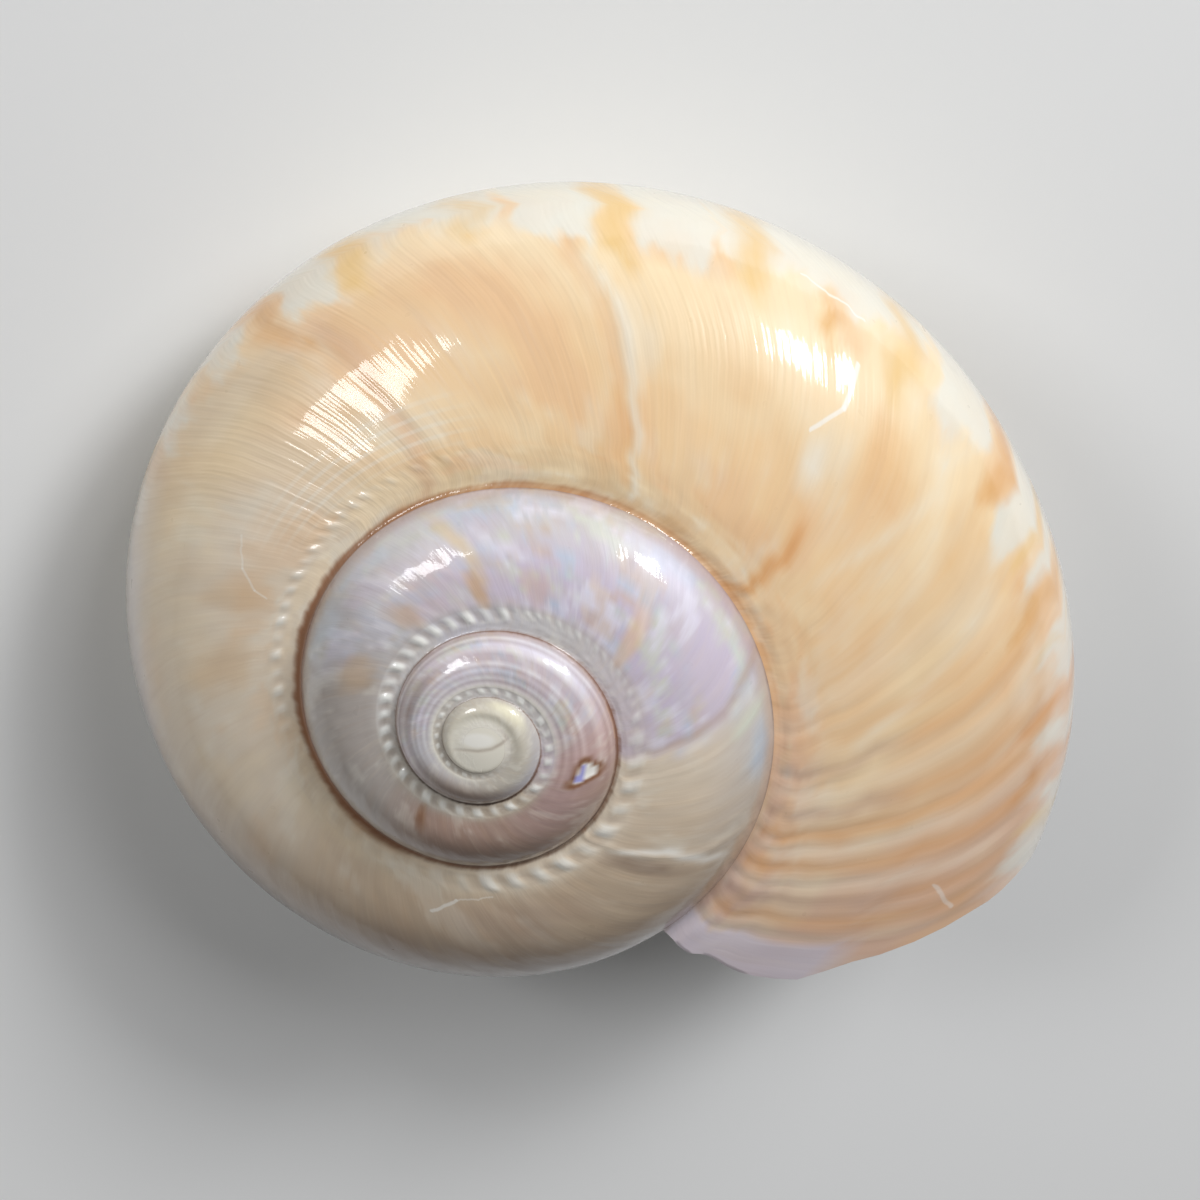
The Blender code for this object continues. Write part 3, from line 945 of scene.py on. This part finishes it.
# Pearly inside of the tube
def nacreColour(row, point):
    colour = np.zeros(np.shape(row) + (3,)) + toneOf("nacreGrey")
    for k, name in enumerate(("silver", "iceBlue", "rosePearl", "paleGreen")):
        field = uneven(row * 0.35, point * 0.6, 61.0 + 7.0 * k)
        colour = laid(colour, 0.8 * ease((field + 0.1) / 0.4), name)
    return colour


# Display values of 0 to 255 as the renderer's own colour
def linear(colour):
    values = np.clip(colour / 255.0, 0.0, 1.0)
    return np.where(values <= 0.04045, values / 12.92, ((values + 0.055) / 1.055) ** 2.4)


shellSheets = []


# A grid is added and its points are moved on to the surface; then its faces are mapped and painted
def addSheet(name, rows, points, place, inside=False):
    bpy.ops.object.select_all(action="DESELECT")
    bpy.ops.mesh.primitive_grid_add(x_subdivisions=len(rows) - 1, y_subdivisions=len(points) - 1, size=0.01)
    sheet = bpy.context.object
    sheet.name = name
    row, point = [np.array(a, float) for a in np.meshgrid(rows, points)]
    places = place(row, point)
    sheet.data.vertices.foreach_set("co", standing(places).astype(np.float32).ravel())
    shellSheets.append(sheet)
    paintSheet(sheet.data, places.reshape(-1, 3), row.ravel(), point.ravel(), inside)


# The inside lies this far ahead on the growth map, clear of the scratches
insideAhead = 2.0


# Growth map: growth line and point as shares of their ends. Paint: ground colour, and how much white
# lies on it. Over paint: tone of the flames and of the suture's film and painted shade, and how much of it
# there is.
def paintSheet(mesh, places, row, point, inside):
    corners = np.empty(len(mesh.loops), np.int32)
    mesh.loops.foreach_get("vertex_index", corners)
    mesh.uv_layers[0].name = "growth"
    ahead = insideAhead if inside else 0.0
    growth = np.stack([growthLine(row, point) / shellForm["rows"] + ahead, point / seam], 1)
    mesh.uv_layers["growth"].uv.foreach_set("vector", growth[corners].astype(np.float32).ravel())
    if inside:
        ground, white = nacreColour(row, point), np.zeros_like(row)
        over, overShare = ground, np.zeros_like(row)
    else:
        ground, white = nucleusColour(paintedColour(row, point), places), whiteAt(row, point)
        over, overShare = overColour(row, point)
    for name, colour, share in (("paint", ground, white), ("overPaint", over, overShare)):
        values = np.concatenate([linear(colour), share[:, None]], 1)[corners]
        layer = mesh.color_attributes.new(name=name, type="FLOAT_COLOR", domain="CORNER")
        layer.data.foreach_set("color", values.astype(np.float32).ravel())


# Closes a loop of places, each a list of rows and one of points, with rings that run in to its
# middle, painted as one place of the growth
def addCap(name, loopRows, loopPoints, place, rings, paintedAs, rise=0.0, inside=False):
    loop = place(np.concatenate(loopRows).astype(float), np.concatenate(loopPoints).astype(float))
    loop = np.concatenate([loop, loop[:1]])
    middle = loop[:-1].mean(0)
    rows, steps = np.arange(len(loop)), np.linspace(0.0, 1.0, rings + 1)
    bpy.ops.object.select_all(action="DESELECT")
    bpy.ops.mesh.primitive_grid_add(x_subdivisions=len(rows) - 1, y_subdivisions=rings, size=0.01)
    cap = bpy.context.object
    cap.name = name
    index, step = np.meshgrid(rows, steps)
    places = middle + (loop[index] - middle) * (1.0 - step)[..., None]
    places[..., 2] += rise * np.sqrt(1.0 - (1.0 - step) ** 2)
    cap.data.vertices.foreach_set("co", standing(places).astype(np.float32).ravel())
    shellSheets.append(cap)
    row, point = [np.full(index.size, value) for value in paintedAs]
    paintSheet(cap.data, places.reshape(-1, 3), row, point, inside)


def buildShell():
    turn = shellForm["turnBack"]
    last = shellForm["rows"]
    parts = meshFineness["rowParts"]
    upper = np.array(meshFineness["upperPoints"], float)
    base = np.array(meshFineness["basePoints"], float)
    wall = np.array(meshFineness["wallPoints"], float)
    allPoints = np.concatenate([upper, base[1:], wall[1:]])
    addSheet("upperSide", fineRows(0, last, parts), upper, skinPlace)
    addSheet("baseSide", fineRows(last - turn, last, parts), base, skinPlace)
    addSheet("umbilicalWall", fineRows(shellForm["umbilicusRow"], last, parts), wall, skinPlace)
    inner = fineRows(shellForm["hollowRow"], last, meshFineness["insideParts"])
    addSheet("liningSheet", inner, allPoints, liningPlace, inside=True)
    grown = base[(base >= grip + 1) & (base <= rim - 1)]
    addSheet("parietalSheet", inner - turn, grown, skinPlace, inside=True)

    # Rounded edge of the lip, whose ends lie on the turn before
    def lipPlace(ahead, point):
        share = ahead - last
        row = np.full_like(point, float(last))
        outer, under = skinPlace(row, point), liningPlace(row, point)
        place = outer + (under - outer) * share[..., None]
        forward = smoothPlace(row, point, 0.5) - smoothPlace(row, point)
        forward = forward / np.linalg.norm(forward, axis=-1, keepdims=True)
        place = place + shellForm["lipRounding"] * forward * np.sin(math.pi * share)[..., None]
        back = np.full_like(point, float(last - turn))
        start = skinPlace(back, grip + share)
        end = skinPlace(back, rim - share)
        place = np.where((point == 0)[..., None], start, place)
        return np.where((point == seam)[..., None], end, place)

    addSheet("lipEdge", last + np.array([0.0, 0.5, 1.0]), allPoints, lipPlace)

    # Caps: first small dome, head of the umbilicus and far end of the hollow
    capRings = meshFineness["capRings"]
    first = fineRows(0, turn, parts)
    addCap("firstDome", (np.zeros(len(upper)), first[:0:-1][1:]), (upper, np.zeros(len(first) - 2)),
           skinPlace, meshFineness["domeRings"], (2.0, 4.0), rise=shellForm["domeRise"])
    deep = fineRows(shellForm["umbilicusRow"], shellForm["umbilicusRow"] + turn, parts)
    addCap("umbilicusHead", (np.full(len(wall), deep[0]), deep[1:-1][::-1]),
           (wall[::-1], np.full(len(deep) - 2, float(seam))), skinPlace, capRings, (deep[0], 17.5))

    def hollowEnd(row, point):
        own = (row > shellForm["hollowRow"] - 1)[..., None]
        return np.where(own, liningPlace(row, point), skinPlace(row, point))

    hollow = float(shellForm["hollowRow"])
    addCap("hollowEnd", (np.full(len(allPoints), hollow), np.full(len(grown) - 2, hollow - turn)),
           (allPoints, grown[-2:0:-1]), hollowEnd, capRings, (hollow, 4.0), inside=True)

    bpy.ops.object.select_all(action="DESELECT")
    for sheet in shellSheets:
        sheet.select_set(True)
    bpy.context.view_layer.objects.active = shellSheets[0]
    bpy.ops.object.join()
    shell = bpy.context.object
    shell.name = "seashell"
    shell.data.name = "seashell"
    bpy.ops.object.mode_set(mode="EDIT")
    bpy.ops.mesh.select_all(action="SELECT")
    bpy.ops.mesh.remove_doubles(threshold=meshFineness["joinWithin"])
    bpy.ops.mesh.dissolve_degenerate(threshold=meshFineness["joinWithin"] / 6.0)
    bpy.ops.mesh.select_all(action="SELECT")
    bpy.ops.mesh.normals_make_consistent(inside=False)
    bpy.ops.object.mode_set(mode="OBJECT")
    bpy.ops.object.shade_smooth_by_angle(angle=math.radians(meshFineness["smoothUpTo"]))
    print("shell modelled:", len(shell.data.vertices), "points", len(shell.data.polygons), "faces")
    return shell


seashell = buildShell()
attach(seashell, "root")
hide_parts("shell")


tree = None
nodeCount = [0]


def addNode(kind, **settings):
    node = tree.nodes.new(kind)
    node.location = (-2400 + 180 * (nodeCount[0] % 14), 900 - 180 * (nodeCount[0] // 14))
    nodeCount[0] += 1
    for name, value in settings.items():
        setattr(node, name, value)
    return node


def feed(socket, value):
    if isinstance(value, bpy.types.NodeSocket):
        tree.links.new(value, socket)
    elif value is not None:
        socket.default_value = value


def calc(operation, first, second=None, third=None):
    node = addNode("ShaderNodeMath", operation=operation)
    for socket, value in zip(node.inputs, (first, second, third)):
        feed(socket, value)
    return node.outputs[0]


def times(first, second):
    return calc("MULTIPLY", first, second)


def plus(first, second):
    return calc("ADD", first, second)


# Share that rises smoothly from 0 to 1 between two values, or falls where they run down
def ramp(value, low, high):
    node = addNode("ShaderNodeMapRange", interpolation_type="SMOOTHSTEP")
    feed(node.inputs["Value"], value)
    node.inputs["From Min"].default_value = min(low, high)
    node.inputs["From Max"].default_value = max(low, high)
    node.inputs["To Min"].default_value = 0.0 if low < high else 1.0
    node.inputs["To Max"].default_value = 1.0 if low < high else 0.0
    return node.outputs["Result"]


def blend(share, under, over):
    node = addNode("ShaderNodeMix", data_type="RGBA")
    feed(node.inputs[0], share)
    feed(node.inputs[6], under)
    feed(node.inputs[7], over)
    return node.outputs[2]


def shaderTone(name):
    return tuple(float(c) for c in linear(toneOf(name))) + (1.0,)


# Noise about zero; on the growth map the scales are rows and points, in space they are metres
def noiseAt(place, scale, detail, stretch=None):
    flat = stretch is not None
    if flat:
        node = addNode("ShaderNodeVectorMath", operation="MULTIPLY")
        feed(node.inputs[0], place)
        node.inputs[1].default_value = (shellForm["rows"] * stretch[0], seam * stretch[1], 0.0)
        place = node.outputs[0]
    texture = addNode("ShaderNodeTexNoise", noise_dimensions="2D" if flat else "3D")
    feed(texture.inputs["Vector"], place)
    texture.inputs["Scale"].default_value = scale
    texture.inputs["Detail"].default_value = detail
    texture.inputs["Roughness"].default_value = 0.6
    return calc("SUBTRACT", texture.outputs["Fac"], 0.5)


# Thin scratch between two places of the growth map
def scratch(line, point, start, end, width):
    alongLine, alongPoint = end[0] - start[0], end[1] - start[1]
    square = alongLine**2 + alongPoint**2
    x = calc("SUBTRACT", line, start[0])
    y = calc("SUBTRACT", point, start[1])
    share = plus(times(x, alongLine / square), times(y, alongPoint / square))
    share = calc("MINIMUM", calc("MAXIMUM", share, 0.0), 1.0)
    x = calc("SUBTRACT", x, times(share, alongLine))
    y = calc("SUBTRACT", y, times(share, alongPoint))
    away = calc("SQRT", plus(times(x, x), times(y, y)))
    return ramp(away, width, width * 0.3)


# Finish of the shell: how strongly the fine lines show, its polish, how fine each noise is, and
# scratches, each from one growth line and point to another, with its half width and share
shellFinish = {
    "streak": 0.06,
    "hair": 0.04,
    "overPaint": 0.9,
    "roughness": 0.34,
    "roughnessVariation": 0.25,
    "bumpDepth": 0.00005,
    "bumpStrength": 0.28,
    "coat": 0.9,
    "coatRoughness": 0.05,
    "blotchScale": 650.0,
    "grainScale": 2600.0,
    "streakScale": (2.4, 0.22),
    "rippleScale": (0.9, 0.7),
    "hairScale": (9.0, 0.5),
    "scratches": (((140.7, 3.15), (142.2, 3.35), 0.05, 0.35), ((142.2, 3.35), (143.4, 4.0), 0.08, 0.6),
                  ((156.2, 3.2), (156.45, 3.6), 0.04, 0.35), ((156.45, 3.6), (157.1, 4.1), 0.04, 0.35),
                  ((157.1, 4.1), (158.0, 4.4), 0.035, 0.3),
                  ((172.3, 5.2), (172.9, 5.8), 0.045, 0.7), ((172.9, 5.8), (173.2, 6.6), 0.06, 0.8),
                  ((172.2, 7.6), (173.4, 7.55), 0.04, 0.6), ((181.8, 5.5), (182.5, 6.0), 0.04, 0.4)),
    "spiralScratches": 0.3,
    "spiralScratchesPerPoint": 23.0,
}


# Colour: fine growth lines, white patches, flames and film with painted shade, with ragged edges, and
# scratches
def shellColour(line, point, blotch, streak, hair):
    ground = addNode("ShaderNodeAttribute", attribute_name="paint")
    over = addNode("ShaderNodeAttribute", attribute_name="overPaint")
    colour = ground.outputs["Color"]
    colour = blend(times(ramp(streak, 0.02, 0.25), shellFinish["streak"]), colour, shaderTone("cream"))
    colour = blend(times(ramp(streak, -0.02, -0.25), shellFinish["streak"]), colour, shaderTone("umber"))
    colour = blend(times(ramp(hair, 0.0, 0.3), shellFinish["hair"]), colour, shaderTone("ivory"))
    colour = blend(times(ramp(hair, 0.0, -0.3), shellFinish["hair"]), colour, shaderTone("umber"))

    wander = plus(times(blotch, 0.5), times(streak, 0.35))
    white = ramp(plus(ground.outputs["Alpha"], times(wander, 1.4)), 0.12, 0.8)
    white = times(white, ramp(ground.outputs["Alpha"], 0.0, 0.25))
    colour = blend(times(white, plus(times(blotch, 0.5), 0.78)), colour, shaderTone("milk"))
    overShare = ramp(plus(over.outputs["Alpha"], times(wander, 1.2)), 0.05, 0.95)
    overShare = times(overShare, ramp(over.outputs["Alpha"], 0.02, 0.25))
    colour = blend(times(overShare, shellFinish["overPaint"]), colour, over.outputs["Color"])

    bentLine = plus(line, times(wander, 0.5))
    bentPoint = plus(point, times(wander, 0.6))
    for start, end, width, share in shellFinish["scratches"]:
        mark = scratch(bentLine, bentPoint, start, end, width)
        colour = blend(times(mark, share), colour, shaderTone("white"))

    # Fine spiral scratches on the shoulder
    wave = ramp(calc("SINE", times(point, shellFinish["spiralScratchesPerPoint"])), 0.0, 1.0)
    here = times(ramp(line, 157.0, 160.0), ramp(line, 165.0, 163.0))
    here = times(here, times(ramp(point, 2.9, 3.3), ramp(point, 4.5, 4.0)))
    return blend(times(times(wave, here), shellFinish["spiralScratches"]), colour, shaderTone("ivory"))


# Height of the finest growth lines, strongest on the shoulder before the lip, faint on the young turns
def shellHeight(line, streak, ripple, hair):
    strong = plus(times(times(ramp(line, 157.0, 160.0), ramp(line, 176.0, 173.0)), 0.7), 0.45)
    height = times(plus(times(hair, 0.5), times(streak, 0.8)), strong)
    height = plus(height, times(ripple, 2.5))
    return times(height, plus(times(ramp(line, 30.0, 165.0), 0.85), 0.15))


def paintShell(material):
    global tree
    tree = material.node_tree
    surface = tree.nodes["Principled BSDF"]
    growthMap = addNode("ShaderNodeUVMap", uv_map="growth").outputs[0]
    growth = addNode("ShaderNodeSeparateXYZ")
    tree.links.new(growthMap, growth.inputs[0])
    line = times(growth.outputs["X"], float(shellForm["rows"]))
    point = times(growth.outputs["Y"], float(seam))
    place = addNode("ShaderNodeTexCoord").outputs["Object"]
    blotch = noiseAt(place, shellFinish["blotchScale"], 2.0)
    grain = noiseAt(place, shellFinish["grainScale"], 1.0)
    streak = noiseAt(growthMap, 1.0, 2.0, shellFinish["streakScale"])
    ripple = noiseAt(growthMap, 1.0, 1.0, shellFinish["rippleScale"])
    hair = noiseAt(growthMap, 1.0, 1.0, shellFinish["hairScale"])
    tree.links.new(shellColour(line, point, blotch, streak, hair), surface.inputs["Base Color"])

    # Polish: growth lines and grain break the gloss, in the skin and in the clear layer over it
    rough = plus(shellFinish["roughness"], times(grain, shellFinish["roughnessVariation"]))
    tree.links.new(rough, surface.inputs["Roughness"])
    bump = addNode("ShaderNodeBump")
    bump.inputs["Strength"].default_value = shellFinish["bumpStrength"]
    bump.inputs["Distance"].default_value = shellFinish["bumpDepth"]
    tree.links.new(shellHeight(line, streak, ripple, hair), bump.inputs["Height"])
    tree.links.new(bump.outputs[0], surface.inputs["Normal"])
    tree.links.new(bump.outputs[0], surface.inputs["Coat Normal"])
    surface.inputs["Coat Weight"].default_value = shellFinish["coat"]
    surface.inputs["Coat Roughness"].default_value = shellFinish["coatRoughness"]


shellGloss = bpy.data.materials.new("polishedShell")
shellGloss.use_nodes = True
paintShell(shellGloss)
seashell.data.materials.clear()
seashell.data.materials.append(shellGloss)
print("shell painted")


# Plain pale floor
floorLook = {"size": 1.2, "colour": (0.80, 0.80, 0.79, 1.0), "roughness": 0.7}
bpy.ops.object.select_all(action="DESELECT")
bpy.ops.mesh.primitive_plane_add(size=floorLook["size"], location=(0.0, 0.0, 0.0))
paleFloor = bpy.context.object
paleFloor.name = "paleFloor"
floorPaint = bpy.data.materials.new("floorPaint")
floorPaint.use_nodes = True
floorSurface = floorPaint.node_tree.nodes["Principled BSDF"]
floorSurface.inputs["Base Color"].default_value = floorLook["colour"]
floorSurface.inputs["Roughness"].default_value = floorLook["roughness"]
paleFloor.data.materials.append(floorPaint)

# Studio: soft boxes behind the shell as the camera sees it, by azimuth, elevation, size, share of
# the power and whether they mirror in the polish, and a weak fill from all round
studio = {
    "boxes": (("leftBox", 146.0, 38.0, 0.070, 0.75, True), ("rightBox", 50.0, 38.0, 0.060, 1.0, True),
              ("softBox", 52.0, 42.0, 0.16, 1.7, False)),
    "distance": 0.26,
    "power": 0.22,
    "fill": 0.11,
    "tint": (0.97, 0.98, 1.0),
}
for name, azimuth, elevation, size, share, mirrored in studio["boxes"]:
    turn, rise = math.radians(azimuth), math.radians(elevation)
    towards = Vector((math.cos(turn) * math.cos(rise), math.sin(turn) * math.cos(rise), math.sin(rise)))
    bpy.ops.object.light_add(type="AREA", location=towards * studio["distance"])
    box = bpy.context.object
    box.name = name
    box.data.shape = "SQUARE"
    box.data.size = size
    box.data.energy = studio["power"] * share
    box.data.color = studio["tint"]
    box.visible_glossy = mirrored
    box.rotation_euler = towards.to_track_quat("Z", "Y").to_euler()
room = bpy.data.worlds.new("studioRoom")
bpy.context.scene.world = room
room.use_nodes = True
room.node_tree.nodes["Background"].inputs["Color"].default_value = (1.0, 1.0, 1.0, 1.0)
room.node_tree.nodes["Background"].inputs["Strength"].default_value = studio["fill"]

# Camera at the viewing angle of the photo
cameraSet = {
    "place": (-0.01286529, 0.02268260, 0.06457385),
    "right": (0.97670377, -0.01818656, 0.21381999),
    "up": (0.09324351, 0.93339119, -0.34653503),
    "back": (-0.19327541, 0.3583994, 0.91334248),
    "lens": 75.0,
}
bpy.ops.object.camera_add()
camera = bpy.context.object
camera.name = "photoCamera"
axes = Matrix((cameraSet["right"], cameraSet["up"], cameraSet["back"])).transposed()
camera.matrix_world = Matrix.Translation(cameraSet["place"]) @ axes.to_4x4()
camera.data.lens = cameraSet["lens"]
camera.data.sensor_width = 36.0
camera.data.clip_start = 0.001
bpy.context.scene.camera = camera
bpy.context.scene.view_settings.view_transform = "Standard"
print("studio set")
